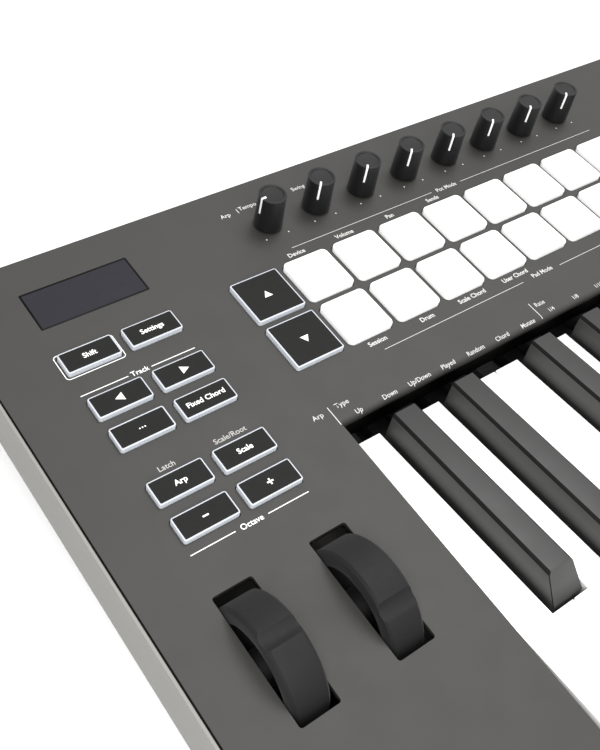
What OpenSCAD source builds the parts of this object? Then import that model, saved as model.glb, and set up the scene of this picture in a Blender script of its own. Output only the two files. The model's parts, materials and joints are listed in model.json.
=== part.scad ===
// Compact controller keyboard: a sloped control panel with knobs, pads, buttons and
// two wheels round a level bed of twenty-five keys. Millimetres, +Z up, +X along the
// keys to the right, +Y to the back. The origin is on the table under the middle of
// the case. Places on the panel are given by px, the distance from the panel plate's
// left edge, and d, the distance down the slope from its back edge, which is flush with
// the case's back.

/* [Case] */
// Depth of the case from front to back
case_d = 258; // [230:1:310]
// Height of the panel surface at the front of the case
front_h = 41; // [40:0.5:50]
// Slope of the panel, rising to the back, in degrees
tilt = 5; // [4:0.5:6]
// Thickness of the lower case's walls and floor
wall = 2.8; // [2.4:0.1:3.4]
// Height of the upright part of the side walls
side_h = 25; // [18:1:32]
// Lean of the lower part of the side walls, in degrees
side_lean = 35; // [20:1:45]
// Radius of the case's upright corners
corner_r = 5; // [3:0.5:10]
// Height of the rubber feet below the case
foot_h = 3; // [2:0.5:5]
// Radius of a rubber foot
foot_r = 7; // [5:0.5:9]

/* [Top panel] */
// Thickness of the panel plate
panel_t = 2.5; // [2:0.1:3]
// Width of the lower case's rim at the plate's sides and front
rim_w = 0.9; // [0.8:0.1:1.4]
// Width of the dark seam between rim and plate
seam_w = 0.7; // [0.4:0.1:1]
// Width of the panel to the left of the key opening
left_w = 90.5; // [84:0.5:120]
// Width of the panel to the right of the key opening
cheek_w = 15.4; // [13:0.2:30]
// Distance from the plate's back edge to the key opening
lip_d = 115.5; // [112:0.5:142]
// Radius of the rounded edge above the keys' back ends
lip_r = 2.5; // [2:0.1:2.5]
// Depth of the lip that hangs behind the keys
lip_h = 10; // [6:0.5:11]

/* [Keys] */
// Spacing of the white keys
white_pitch = 23.5; // [20:0.1:28.5]
// Gap between two white keys
key_gap = 0.8; // [0.6:0.1:1.4]
// Gap from the end keys to the sides of the key opening
key_side_gap = 1.7; // [1.2:0.1:3]
// Depth of the white tops below the panel at the lip
key_drop = 11; // [10:0.5:13]
// Height of the black tops above the white tops
black_rise = 9.5; // [9:0.5:12]
// Width of a black key at its foot
black_w = 13.4; // [12:0.1:13.6]
// Width of a black key's flat top
black_top_w = 9.0; // [7:0.1:9]
// Width of the bevel along each side of a black key's top
black_bevel = 0.9; // [0.3:0.1:1.3]
// Length of a black key's flat top
black_len = 73.5; // [60:0.5:85]
// Length of the sloping nose in front of a black key's top
nose_l = 7; // [3:0.5:8]
// Gap between a black key and the white keys beside it
black_gap = 1.4; // [0.6:0.1:1.6]
// Gap between the lip and the keys' back ends
back_gap = 3.2; // [2.6:0.1:6]
// Distance from the white keys' back ends forward to the black keys'
black_set = 1.3; // [0.5:0.1:2]
// Height of a white key's front face
key_face_h = 17; // [14:0.5:19]
// Wall thickness of the hollow keys
key_wall = 1.8; // [1.4:0.1:2.2]
// Distance from the lip back to the key pivot
pivot_back = 46; // [40:1:55]
// Radius of the steel pivot rod
rod_r = 1.5; // [1:0.1:2]
// Radial running clearance on rods and shafts
run_gap = 0.05; // [0.02:0.01:0.1]
// Swing of a key at full press, in degrees
key_swing = 3; // [2:0.1:3]

/* [Buttons and pads] */
// Spacing of the pads both ways
pad_pitch = 23.35; // [21:0.05:26]
// Width of a pad
pad_w = 20.1; // [17:0.1:20.5]
// Corner radius of a pad
pad_r = 2.2; // [1:0.1:4]
// Height of the pads above the panel
pad_rise = 2.0; // [1:0.1:2.5]
// Left edge of the panel to the middle of the first pad
pad_x = 124.2; // [120:0.1:140]
// Back edge of the panel to the middle of the back pad row
pad_d = 56.4; // [54:0.1:62]
// Width of a small button
button_w = 19.8; // [16:0.1:20.4]
// Depth of a small button
button_l = 9.0; // [7:0.1:9.6]
// Width of a large square button
square_w = 20.4; // [17:0.1:21]
// Height of the buttons above the panel
button_rise = 1.8; // [1.3:0.1:2.4]
// Travel of a button
button_travel = 1.0; // [0.6:0.1:1.1]
// Gap between a button or pad and its hole
button_gap = 0.35; // [0.3:0.05:0.6]
// Left edge of the panel to the middle of the first button column
column_x = 32.5; // [28:0.1:40]
// Spacing of the two button columns
column_pitch = 23.7; // [23:0.1:28]

/* [Knobs] */
// Radius of a knob at its foot
knob_r = 5.8; // [4.5:0.1:7]
// Height of a knob
knob_h = 15; // [12:0.5:18]
// Gap between knob and panel
knob_gap = 0.6; // [0.4:0.1:1.2]
// Radius of a knob shaft
shaft_r = 3; // [2:0.1:3]
// Left edge of the panel to the middle of the first knob
knob_x = 123.2; // [120:0.1:140]
// Back edge of the panel to the middle of the knobs
knob_d = 24.5; // [22:0.1:32]
// Angle from straight back to the end stops, in degrees
knob_stop = 145; // [120:1:150]

/* [Wheels] */
// Radius of the pitch and modulation wheels
wheel_r = 20.5; // [20:0.5:25]
// Width of a wheel
wheel_w = 12.5; // [10:0.1:13]
// Height of a wheel above the panel
wheel_rise = 11; // [7:0.5:11]
// Width of a wheel slot
slot_w = 14; // [13.5:0.1:16]
// Length of a wheel slot
slot_l = 44; // [44:1:52]
// Left edge of the panel to the middle of the first wheel
wheel_x = 26.95; // [22:0.1:30]
// Spacing of the two wheels
wheel_pitch = 34.6; // [30:0.1:40]
// Back edge of the panel to the back end of the wheel slots
slot_d = 145; // [142:0.1:162]

/* [Display and sockets] */
// Width of the display window
window_w = 41.6; // [30:0.1:45]
// Depth of the display window
window_l = 17.8; // [12:0.1:20]
// Thickness of the display window
window_t = 1.5; // [1:0.1:1.5]
// Left edge of the panel to the left edge of the window
window_x = 24.1; // [20:0.1:30]
// Back edge of the panel to the back edge of the window
window_d = 15.3; // [12:0.1:20]
// Height of the sockets' middle below the panel's back edge
socket_drop = 26; // [22:0.5:30]
// Radius of the pedal socket's bore, for a 6.35 mm plug
pedal_r = 3.2; // [3.18:0.01:3.3]
// Radius of the mouth of the five-pin socket
din_r = 6.7; // [6.5:0.1:7.2]

/* [Fasteners] */
// Radius of a screw's thread
screw_r = 1.5; // [1.2:0.1:2]
// Radius of a screw's head
head_r = 2.8; // [2.4:0.1:3.4]
// Radius of a screw boss
boss_r = 3.4; // [3:0.1:4]

/* [Hidden] */
$fn = 48;

case_colour = "#9a9996";
panel_colour = "#5f5d5a";
rubber_colour = "#c8cbd0";

// Case and panel
edge_w = rim_w + seam_w;
white_count = 15;
key_count = 25;
keybed_w = white_count * white_pitch;
open_w = keybed_w + 2 * key_side_gap;
panel_w = left_w + open_w + cheek_w;
case_w = panel_w + 2 * edge_w;
panel_l = case_d / cos(tilt) - edge_w;
back_h = front_h + case_d * tan(tilt);
floor_z = foot_h + wall;
rim_drop = 0.3;
seat_gap = 0.1;
cheek_wall = 2.5;
cheek_h = 14;
joint_in = 0.5;
cheek_l = panel_l - lip_d + lip_r - 1.5;

// Keys
lip_y = case_d / 2 - lip_d * cos(tilt);
lip_z = back_h - lip_d * sin(tilt);
white_top = lip_z - key_drop;
black_top = white_top + black_rise;
key_x0 = -panel_w / 2 + left_w + key_side_gap;
key_back = lip_y - back_gap;
black_back = key_back - black_set;
front_gap = 0.5;
key_front = -case_d / 2 + wall + front_gap;
strip_w = 7 * white_pitch / 12;
notch_y = black_back - black_len - nose_l - 1;
body_h = 12;
arm_w = 8.5;
arm_h = 5;
hub_r = 4.5;
pivot_y = lip_y + pivot_back;
pivot_z = white_top - 7.5;
arm_z = pivot_z - hub_r;
black_steps = [1, 3, 6, 8, 10];
// How far each of them stands to the right of the middle of its strip
black_shifts = [1.6, 2.0, 1.3, 1.0, 0.65];
white_steps = [0, 2, 4, 5, 7, 9, 11];

// Key frame
deck_t = 2.5;
deck_z = white_top - 21.5;
low_deck_z = white_top - 30;
deck_front = notch_y + 2.3;
lug_t = 3;
frame_back = pivot_y + 8;
frame_left = key_x0 - 1.2;
frame_w = keybed_w + 2.4;
rib_w = min(frame_w, floor_half(frame_back) - frame_left - 1);
low_deck_w = keybed_w - 1.8;
stop_y = lip_y + 26;
rest_gap = 0.3;
spring_y = pivot_y - 10;
dome_y = lip_y - 29;
dome_h = 3.7;
board_t = 1.6;

// Buttons under the panel
flange = 1.2;
flange_t = 1.5;
flange_gap = 0.4;
board_d = 9;
sheet_z = 0.05 - board_d;
cap_r = 0.9;
plunger_r = 2;
plunger_end = 7.6;
square_l = square_w - 0.4;
button_rows = [50.7, 71.3, 85.1, 108.1, 122.2];
function_rows = [button_rows[0], button_rows[2]];
function_x = [343, 366.6, 390.2, 413.8];

// Knobs: rest angle of each pointer, clockwise from straight back
knob_turns = [-95, -138, -138, -138, -138, -138, -138, -138];
knob_count = 8;
bush_r = 3.9;
pot_w = 11;

// Wheels
wheel_mid_d = slot_d + slot_l / 2;
wheel_sink = wheel_r - wheel_rise;
// Height of the bracket's uprights above the wheels' shafts
upright_up = min(8, wheel_sink - panel_t - 0.5);
axle_r = 2.5;
upright_t = 2.4;
axle_l = wheel_pitch - 8;
wheel_turns = [0, 30];

// Sockets along the back wall, and screws
usb_x = -155;
pedal_x = -125;
din_x = -90;
socket_z = back_h - socket_drop;
wall_y = case_d / 2 - wall;
rear_screw_y = case_d / 2 - 10.5;
front_screw_y = -case_d / 2 + 17;
rear_screw_x = floor_half(rear_screw_y) - 17;
front_screw_x = floor_half(front_screw_y) - boss_r - 0.3;
panel_screws = [
  [-rear_screw_x, rear_screw_y], [din_x + 30, rear_screw_y], [70, rear_screw_y],
  [rear_screw_x, rear_screw_y], [12 - front_screw_x, front_screw_y],
  [key_x0 - 11.5, front_screw_y], [front_screw_x, front_screw_y]];
frame_screws = [
  for (x = [key_x0 + 14, key_x0 + keybed_w - 14]) for (y = [dome_y - 25, lip_y + 12]) [x, y]];
feet = [for (s = [-1, 1]) for (y = [case_d / 2 - 34, 18 - case_d / 2])
  [s * (floor_half(y) - (y > 0 ? 20 : 38)), y]];

// ---------- helpers ----------

// Moves its children to a place on the panel, with z along the panel's normal.
module on_panel(px, d) {
  translate([-panel_w / 2 + px, case_d / 2, back_h])
    rotate([tilt, 0, 0])
      translate([0, -d, 0])
        children();
}

// Rectangle with round corners, centred.
module round_rect(w, l, r) {
  square([w - 2 * r, l], center = true);
  square([w, l - 2 * r], center = true);
  for (x = [-1, 1]) for (y = [-1, 1])
    translate([x * (w / 2 - r), y * (l / 2 - r)]) circle(r = r);
}

// Upright block with round corners, centred in x and y.
module round_block(w, l, r, z0, z1) {
  translate([0, 0, z0]) linear_extrude(height = z1 - z0) round_rect(w, l, r);
}

// Everything below the panel's surface, down from a level above or below it.
module under_panel(level) {
  on_panel(0, 0)
    translate([-20, -panel_l - 30, level - 120]) cube([panel_w + 40, panel_l + 60, 120]);
}

// The case's outer form, drawn in by inset, up to a level against the panel.
module case_form(inset, level) {
  difference() {
    intersection() {
      round_block(case_w - 2 * inset, case_d - 2 * inset, corner_r - inset,
                  foot_h + inset, back_h + 20);
      under_panel(level);
    }
    for (side = [0, 1]) mirror([side, 0, 0])
      on_panel(-edge_w, 0)
        translate([0, 0, -side_h])
          rotate([0, -side_lean, 0])
            translate([inset - 100, -panel_l - 60, -120]) cube([100, panel_l + 120, 240]);
  }
}

// Half width of the case's floor inside, where the leaning side walls meet it.
function floor_half(y) = case_w / 2 - wall / cos(side_lean)
  - max(0, back_h - (case_d / 2 - y) * tan(tilt) - side_h / cos(tilt) - floor_z) * tan(side_lean);
function button_x(column) = column_x + column * column_pitch;
function key_octave(n) = floor(n / 12);
function is_black(n) = len(search(n % 12, black_steps)) > 0;
// Left edge of the strip that semitone n takes at the pivot.
function strip_x(n) = key_x0 + n * strip_w;
// Middle of the black key at semitone n.
function black_x(n) = strip_x(n + 0.5) + black_shifts[search(n % 12, black_steps)[0]];
// Number of white keys below semitone n.
function whites_below(n) = 7 * key_octave(n) + len([for (w = white_steps) if (w < n % 12) w]);

// ---------- fixed pieces ----------

module top_panel() {
  color(panel_colour) difference() {
    union() {
      difference() {
        union() {
          intersection() {
            on_panel(panel_w / 2, panel_l / 2)
              round_block(panel_w, panel_l, corner_r - edge_w, -panel_t, 0);
            translate([-case_w / 2, -case_d / 2, 0]) cube([case_w, case_d, back_h + 1]);
          }
          for (px = [left_w - cheek_wall, left_w + open_w - joint_in])
            on_panel(px, lip_d - lip_r)
              translate([0, -cheek_l, -cheek_h])
                cube([cheek_wall + joint_in, cheek_l, cheek_h - panel_t / 2]);
        }
        on_panel(left_w, lip_d - lip_r)
          translate([0, -panel_l, -cheek_h - 1]) cube([open_w, panel_l, cheek_h + 2]);
      }
      key_lip();
      for (p = panel_screws) screw_boss(p);
    }
    control_holes();
    for (p = panel_screws)
      translate([p[0], p[1], floor_z - 1]) cylinder(r = screw_r + 0.02, h = 13);
  }
}

// Rounded edge and hanging lip behind the keys.
module key_lip() {
  on_panel(left_w - joint_in, lip_d - lip_r)
    rotate([90, 0, 90])
      linear_extrude(height = open_w + 2 * joint_in) {
        intersection() {
          translate([0, -lip_r]) circle(r = lip_r);
          translate([-lip_r, -lip_r]) square(lip_r);
        }
        translate([-lip_r, -lip_h]) square([2, lip_h - lip_r]);
        translate([-0.1, -lip_r]) square([0.2, lip_r]);
      }
}

// Post that a case screw holds, from the floor to the plate.
module screw_boss(p) {
  intersection() {
    translate([p[0], p[1], floor_z]) cylinder(r = boss_r, h = 70);
    under_panel(-panel_t / 2);
  }
}

module hole(px, d, w, l, r) {
  on_panel(px, d) round_block(w + 2 * button_gap, l + 2 * button_gap, r + button_gap,
                              -panel_t - 1, 1);
}

module control_holes() {
  for (row = button_rows) for (column = [0, 1])
    hole(button_x(column), row, button_w, button_l, cap_r);
  for (row = [0, 1]) {
    for (column = [-1:8])
      if (column == -1 || column == 8)
        hole(pad_x + column * pad_pitch, pad_d + row * pad_pitch, square_w, square_l, cap_r);
      else
        hole(pad_x + column * pad_pitch, pad_d + row * pad_pitch, pad_w, pad_w, pad_r);
  }
  for (x = function_x) for (row = function_rows) hole(x, row, button_w, button_l, cap_r);
  for (k = [0:knob_count - 1])
    on_panel(knob_x + k * pad_pitch, knob_d)
      translate([0, 0, -panel_t - 1]) cylinder(r = bush_r, h = panel_t + 2);
  for (k = [0, 1])
    on_panel(wheel_x + k * wheel_pitch, wheel_mid_d)
      round_block(slot_w, slot_l, 1, -panel_t - 1, 1);
  on_panel(window_x + window_w / 2, window_d + window_l / 2) {
    round_block(window_w + 2 * seat_gap, window_l + 2 * seat_gap, 0.6, -window_t, 1);
    round_block(window_w - 3, window_l - 3, 0.6, -panel_t - 1, 0);
  }
}

module bottom_case() {
  color(case_colour) difference() {
    case_form(0, -rim_drop);
    case_form(wall, 10);
    on_panel(-seam_w, -5)
      translate([0, -panel_l - seam_w - 5, -panel_t])
        cube([panel_w + 2 * seam_w, panel_l + seam_w + 5, 10]);
    // Low front rail that the white keys' faces dip behind
    translate([-panel_w / 2 + left_w, -case_d / 2 - 1, white_top - key_face_h + 1])
      cube([open_w, wall + 2, 40]);
    socket_holes();
    for (p = feet) translate([p[0], p[1], foot_h - 1]) cylinder(r = foot_r + 0.15, h = 1.8);
    for (p = concat(panel_screws, frame_screws)) translate([p[0], p[1], foot_h - 1]) {
      cylinder(r = screw_r + 0.2, h = wall + 2);
      cylinder(r = head_r + 0.3, h = 2.6);
    }
  }
}

module socket_holes() {
  translate([usb_x - 6.5, wall_y - 1, socket_z - 6]) cube([13, wall + 2, 12]);
  for (p = [[pedal_x, 5.7], [din_x, 8]])
    translate([p[0], wall_y - 1, socket_z]) rotate([-90, 0, 0]) cylinder(r = p[1], h = wall + 2);
  translate([case_w / 2 - 45, wall_y - 1, socket_z - 1.5]) cube([7, wall + 2, 3]);
}

module key_frame() {
  color("#3c3c3e") difference() {
    union() {
      translate([frame_left, deck_front, deck_z - deck_t])
        cube([frame_w, frame_back - deck_front, deck_t]);
      translate([frame_left, key_front + 6, low_deck_z - deck_t])
        cube([low_deck_w, deck_front - key_front - 5, deck_t]);
      translate([frame_left, key_front + 6, floor_z])
        cube([low_deck_w, deck_t, low_deck_z - floor_z]);
      for (y = [deck_front, lip_y + 4, frame_back - deck_t])
        translate([frame_left, y, floor_z]) cube([rib_w, deck_t, deck_z - floor_z - 1]);
      for (p = frame_screws)
        translate([p[0], p[1], floor_z]) cylinder(r = boss_r, h = deck_z - floor_z - 1);
      for (n = [0:key_count]) pivot_lug(n);
      stop_bar();
      for (w = [0:white_count - 1]) key_guide(w);
    }
    translate([frame_left - 1, pivot_y, pivot_z]) rotate([0, 90, 0])
      cylinder(r = rod_r + 0.02, h = frame_w + 2);
    for (p = frame_screws)
      translate([p[0], p[1], floor_z - 1]) cylinder(r = screw_r + 0.02, h = 11);
  }
}

// Ear between two key arms that holds the pivot rod.
module pivot_lug(n) {
  inset = n == 0 ? 0.3 : n == key_count ? -0.3 : 0;
  translate([strip_x(n) + inset - lug_t / 2, pivot_y - 5, deck_z - 1])
    cube([lug_t, 10, pivot_z - deck_z + 6]);
}

// Bar over the key arms that the keys rest against, on a post at each end.
module stop_bar() {
  bar_z = arm_z + arm_h + rest_gap;
  translate([frame_left, stop_y, bar_z]) cube([frame_w, 6, 4]);
  for (x = [frame_left, frame_left + frame_w - 2.2])
    translate([x, stop_y, deck_z - 1]) cube([2.2, 6, bar_z - deck_z + 5]);
}

// Tongue inside a white key's front that keeps it from swaying.
module key_guide(w) {
  translate([key_x0 + (w + 0.5) * white_pitch - 3, key_front + 14, low_deck_z - 1])
    cube([6, 4, 18.5]);
}

module pivot_rod() {
  color("silver") translate([frame_left, pivot_y, pivot_z]) rotate([0, 90, 0])
    cylinder(r = rod_r, h = frame_w);
}

module key_springs() {
  spring_h = arm_z - deck_z - 0.8;
  color("silver") for (n = [0:key_count - 1])
    translate([strip_x(n + 0.5), spring_y, deck_z]) rotate_extrude(convexity = 4)
      for (t = [0:3]) polygon([[1.2, t * spring_h / 4], [2, t * spring_h / 4],
        [1.6, (t + 0.5) * spring_h / 4], [2, (t + 1) * spring_h / 4],
        [1.2, (t + 1) * spring_h / 4], [0.8, (t + 0.5) * spring_h / 4]]);
}

module circuit_boards() {
  color("#2f6b3c") {
    main_board();
    contact_board();
    display_module();
  }
  color("#8c8f92") for (k = [0:knob_count - 1]) potentiometer(k);
}

// Board under the controls, parallel to the panel, with a tongue under the left buttons.
module main_board() {
  on_panel(5, 16) translate([0, 24 - lip_d, -board_d - board_t])
    cube([panel_w - 10, lip_d - 24, board_t]);
  on_panel(5, 16) translate([0, -119.6, -board_d - board_t]) cube([76, 119.6, board_t]);
}

// Board with a rubber dome under each key.
module contact_board() {
  translate([key_x0, dome_y - 8, deck_z]) cube([keybed_w, 16, board_t]);
  for (n = [0:key_count - 1])
    translate([strip_x(n + 0.5), dome_y, deck_z + board_t - 0.1])
      cylinder(r1 = 3.6, r2 = 2.6, h = dome_h + 0.1);
}

module display_module() {
  on_panel(window_x + window_w / 2, window_d + window_l / 2)
    round_block(window_w - 4, window_l - 4, 0.6, -board_d, -window_t);
}

// Body and threaded bush of a rotary control, drilled for its shaft.
module potentiometer(k) {
  on_panel(knob_x + k * pad_pitch, knob_d) difference() {
    union() {
      translate([-pot_w / 2, -pot_w / 2, -board_d]) cube([pot_w, pot_w, board_d - panel_t - 0.3]);
      translate([0, 0, -panel_t - 0.5]) cylinder(r = bush_r - 0.2, h = panel_t + 0.7);
    }
    translate([0, 0, -board_d + 0.5]) cylinder(r = shaft_r + run_gap, h = board_d + 2);
  }
}

module rear_sockets() {
  color("#1c1c1e") {
    usb_socket();
    pedal_socket();
    din_socket();
  }
}

module usb_socket() {
  translate([usb_x, case_d / 2, socket_z]) difference() {
    translate([-6, -18, -5.4]) cube([12, 17.6, 10.8]);
    translate([-4.2, -10, -3.9]) cube([8.4, 12, 7.8]);
  }
}

module pedal_socket() {
  translate([pedal_x, case_d / 2, socket_z]) rotate([90, 0, 0]) difference() {
    union() {
      cylinder(r = 5.5, h = 4);
      translate([-8, -8, wall + 0.2]) cube([16, 16, 24]);
    }
    translate([0, 0, -1]) cylinder(r = pedal_r, h = 23);
  }
}

module din_socket() {
  translate([din_x, case_d / 2, socket_z]) rotate([90, 0, 0]) difference() {
    union() {
      cylinder(r = 7.8, h = 4);
      translate([-10.5, -10.5, wall + 0.2]) cube([21, 21, 10]);
    }
    translate([0, 0, -1]) cylinder(r = din_r, h = 9);
  }
  // Insert with its five contact holes
  translate([din_x, case_d / 2, socket_z]) rotate([90, 0, 0]) difference() {
    translate([0, 0, 1]) cylinder(r = din_r - 1.1, h = 7.1);
    for (a = [0:45:180])
      translate([4 * cos(a), 4 * sin(a), 0]) cylinder(r = 0.8, h = 6, $fn = 12);
  }
}

module pad_mat() {
  color("white") {
    on_panel(pad_x + 3.5 * pad_pitch, pad_d + pad_pitch / 2)
      round_block(8 * pad_pitch - 1.4, 2 * pad_pitch - 1, 2, sheet_z, sheet_z + 1.5);
    for (column = [0:7]) for (row = [0, 1])
      on_panel(pad_x + column * pad_pitch, pad_d + row * pad_pitch)
        round_block(pad_w, pad_w, pad_r, sheet_z + 1, pad_rise);
  }
}

module display_window() {
  color("#3e3e44") on_panel(window_x + window_w / 2, window_d + window_l / 2)
    round_block(window_w, window_l, 0.5, -window_t, 0);
}

// Uprights that carry the two wheels' axles, on one foot plate.
module wheel_bracket() {
  gap = (wheel_w + slot_w) / 4 + 0.6;
  plate_x0 = max(-panel_w / 2 + wheel_x - gap - upright_t - 4, 0.5 - floor_half(wheel_y() + 20));
  plate_x1 = -panel_w / 2 + wheel_x + wheel_pitch + gap + upright_t + 4;
  color("#3c3c3e") difference() {
    intersection() {
      for (k = [0, 1]) for (s = [-1, 1])
        on_panel(wheel_x + k * wheel_pitch + s * (gap + upright_t / 2) - upright_t / 2, wheel_mid_d)
          wheel_upright();
      case_form(wall + 0.5, 0);
    }
    translate([-panel_w / 2 - 10, -case_d / 2, floor_z - 60]) cube([left_w, case_d, 60]);
    on_panel(wheel_x - 30, wheel_mid_d) translate([0, 0, -wheel_sink]) rotate([0, 90, 0])
      cylinder(r = axle_r + run_gap, h = wheel_pitch + 60);
  }
  color("#3c3c3e")
    translate([plate_x0, wheel_y() - 20, floor_z]) cube([plate_x1 - plate_x0, 40, 1.6]);
}

function wheel_y() = case_d / 2 - wheel_mid_d * cos(tilt) + wheel_sink * sin(tilt);

module wheel_upright() {
  translate([0, -9, -wheel_sink - 60]) cube([upright_t, 18, 60 + upright_up]);
}

module rubber_feet() {
  color("#202022") for (p = feet)
    translate([p[0], p[1], 0]) cylinder(r = foot_r, h = foot_h + 0.8);
}

module case_screws() {
  color("silver") for (p = concat(panel_screws, frame_screws))
    translate([p[0], p[1], foot_h + 0.1]) {
      cylinder(r = head_r, h = 1.5);
      cylinder(r = screw_r, h = 10);
    }
}

// ---------- keys ----------

// One key by its semitone, counted from the lowest key.
module key(n) {
  color(is_black(n) ? "#3a3a3a" : "white") difference() {
    union() {
      if (is_black(n)) black_body(n);
      else white_body(n);
      key_arm(n);
    }
    translate([strip_x(n) - 1, pivot_y, pivot_z]) rotate([0, 90, 0])
      cylinder(r = rod_r + run_gap, h = strip_w + 2);
  }
}

// Arm from the visible part back to the round hub on the pivot rod.
module key_arm(n) {
  translate([strip_x(n + 0.5) - arm_w / 2, 0, 0]) {
    translate([0, black_back - 1, arm_z]) cube([arm_w, pivot_y - black_back + 1, arm_h]);
    translate([0, pivot_y, pivot_z]) rotate([0, 90, 0]) cylinder(r = hub_r, h = arm_w);
  }
}

// Hollow box, open below.
module key_shell(x0, x1, y0, y1, h) {
  difference() {
    translate([x0, y0, white_top - h]) cube([x1 - x0, y1 - y0, h]);
    translate([x0 + key_wall, y0 + key_wall, white_top - h - 1])
      cube([x1 - x0 - 2 * key_wall, y1 - y0 - 2 * key_wall, h + 1 - key_wall - 0.4]);
  }
}

module white_body(n) {
  x0 = key_x0 + whites_below(n) * white_pitch + key_gap / 2;
  x1 = x0 + white_pitch - key_gap;
  half = black_w / 2 + black_gap;
  cut_left = n > 0 && is_black(n - 1);
  cut_right = n < key_count - 1 && is_black(n + 1);
  n0 = cut_left ? black_x(n - 1) + half : x0;
  n1 = cut_right ? black_x(n + 1) - half : x1;
  key_shell(x0, x1, key_front, notch_y, key_face_h);
  difference() {
    translate([n0, notch_y - 0.5, white_top - body_h])
      cube([n1 - n0, key_back - notch_y + 0.5, body_h]);
    translate([n0 + key_wall, notch_y - 1, white_top - body_h - 1])
      cube([n1 - n0 - 2 * key_wall, key_back - notch_y + 1 - key_wall, body_h + 0.6 - key_wall]);
  }
}

module black_body(n) {
  half = black_w / 2;
  top = black_top_w / 2;
  edge = min(half, top + black_bevel);
  h0 = white_top - body_h;
  translate([black_x(n), 0, 0]) difference() {
    translate([0, black_back, 0]) rotate([90, 0, 0])
      linear_extrude(height = black_len + nose_l)
        polygon([
          [-half, h0], [half, h0], [half, white_top - 1],
          [edge, black_top - black_bevel], [top, black_top],
          [-top, black_top], [-edge, black_top - black_bevel],
          [-half, white_top - 1]]);
    // Sloped nose
    translate([-20, black_back - black_len, black_top])
      rotate([-atan(nose_l / black_rise), 0, 0]) translate([0, -20, -30]) cube([40, 20, 60]);
    // Hollow, open below
    translate([-half + key_wall, black_back - black_len + 2, h0 - 1])
      cube([black_w - 2 * key_wall, black_len - 2 - key_wall, body_h + black_rise - 3]);
  }
}

// ---------- knobs and wheels ----------

module knob(k) {
  on_panel(knob_x + k * pad_pitch, knob_d) {
    color("#151518") difference() {
      translate([0, 0, knob_gap]) cylinder(r1 = knob_r, r2 = knob_r - 0.4, h = knob_h);
      translate([0, 0, knob_gap + knob_h - 0.35]) cylinder(r1 = knob_r - 1.5, r2 = knob_r - 1.1, h = 1);
      cylinder(r = shaft_r, h = knob_h - 2);
      // Pointer groove down the side
      rotate([0, 0, -knob_turns[k]])
        translate([-0.45, knob_r - 0.75, knob_gap + knob_h / 2]) cube([0.9, 2, knob_h]);
    }
    color("silver") translate([0, 0, 1 - board_d]) cylinder(r = shaft_r, h = board_d + knob_h - 3);
  }
}

module wheel(k) {
  on_panel(wheel_x + k * wheel_pitch, wheel_mid_d) translate([0, 0, -wheel_sink]) {
    color("#3a3a3a") difference() {
      rotate([0, 90, 0]) rotate_extrude($fn = 96) wheel_profile();
      // Finger groove across the rim
      rotate([wheel_turns[k], 0, 0]) translate([-wheel_w, 0, wheel_r + 2.6]) rotate([0, 90, 0])
        cylinder(r = 4, h = 2 * wheel_w);
    }
    color("silver") translate([-axle_l / 2, 0, 0]) rotate([0, 90, 0])
      cylinder(r = axle_r, h = axle_l);
  }
}

// Half section of a wheel: rim, web and hub.
module wheel_profile() {
  half = wheel_w / 2;
  polygon([[axle_r, -half], [6, -half], [6, -1.5], [wheel_r - 5, -1.5], [wheel_r - 5, -half],
    [wheel_r - 1, -half], [wheel_r, 1 - half], [wheel_r, half - 1], [wheel_r - 1, half],
    [wheel_r - 5, half], [wheel_r - 5, 1.5], [6, 1.5], [6, half], [axle_r, half]]);
}

// ---------- buttons ----------

// Cap with a flange under the panel and a plunger towards the board.
module button(px, d, w, l) {
  on_panel(px, d) {
    round_block(w, l, cap_r, -panel_t - flange_gap - 1, button_rise);
    round_block(w + 2 * flange, l + 2 * flange, cap_r,
                -panel_t - flange_gap - flange_t, -panel_t - flange_gap);
    translate([0, 0, -plunger_end]) cylinder(r = plunger_r, h = plunger_end - panel_t - 1);
  }
}

module small_button(column, row) {
  color(rubber_colour) button(button_x(column), button_rows[row], button_w, button_l);
}

module square_button(column, row) {
  button(pad_x + column * pad_pitch, pad_d + row * pad_pitch, square_w, square_l);
}

module arrow_button(row) {
  color(rubber_colour) square_button(-1, row);
}

module function_buttons() {
  color(rubber_colour) {
    for (row = [0, 1]) square_button(8, row);
    for (x = function_x) for (row = function_rows) button(x, row, button_w, button_l);
  }
}

top_panel();
bottom_case();
key_frame();
pivot_rod();
key_springs();
circuit_boards();
rear_sockets();
pad_mat();
display_window();
wheel_bracket();
rubber_feet();
case_screws();
key(0);  // key_c3
key(1);  // key_cs3
key(2);  // key_d3
key(3);  // key_ds3
key(4);  // key_e3
key(5);  // key_f3
key(6);  // key_fs3
key(7);  // key_g3
key(8);  // key_gs3
key(9);  // key_a3
key(10);  // key_as3
key(11);  // key_b3
key(12);  // key_c4
key(13);  // key_cs4
key(14);  // key_d4
key(15);  // key_ds4
key(16);  // key_e4
key(17);  // key_f4
key(18);  // key_fs4
key(19);  // key_g4
key(20);  // key_gs4
key(21);  // key_a4
key(22);  // key_as4
key(23);  // key_b4
key(24);  // key_c5
knob(0);  // knob_1
knob(1);  // knob_2
knob(2);  // knob_3
knob(3);  // knob_4
knob(4);  // knob_5
knob(5);  // knob_6
knob(6);  // knob_7
knob(7);  // knob_8
wheel(0);  // pitch_wheel
wheel(1);  // modulation_wheel
small_button(0, 0);  // shift_button
small_button(1, 0);  // settings_button
small_button(0, 1);  // track_left_button
small_button(1, 1);  // track_right_button
small_button(0, 2);  // more_button
small_button(1, 2);  // chord_button
small_button(0, 3);  // arp_button
small_button(1, 3);  // scale_button
small_button(0, 4);  // octave_down_button
small_button(1, 4);  // octave_up_button
arrow_button(0);  // arrow_up_button
arrow_button(1);  // arrow_down_button
function_buttons();
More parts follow.
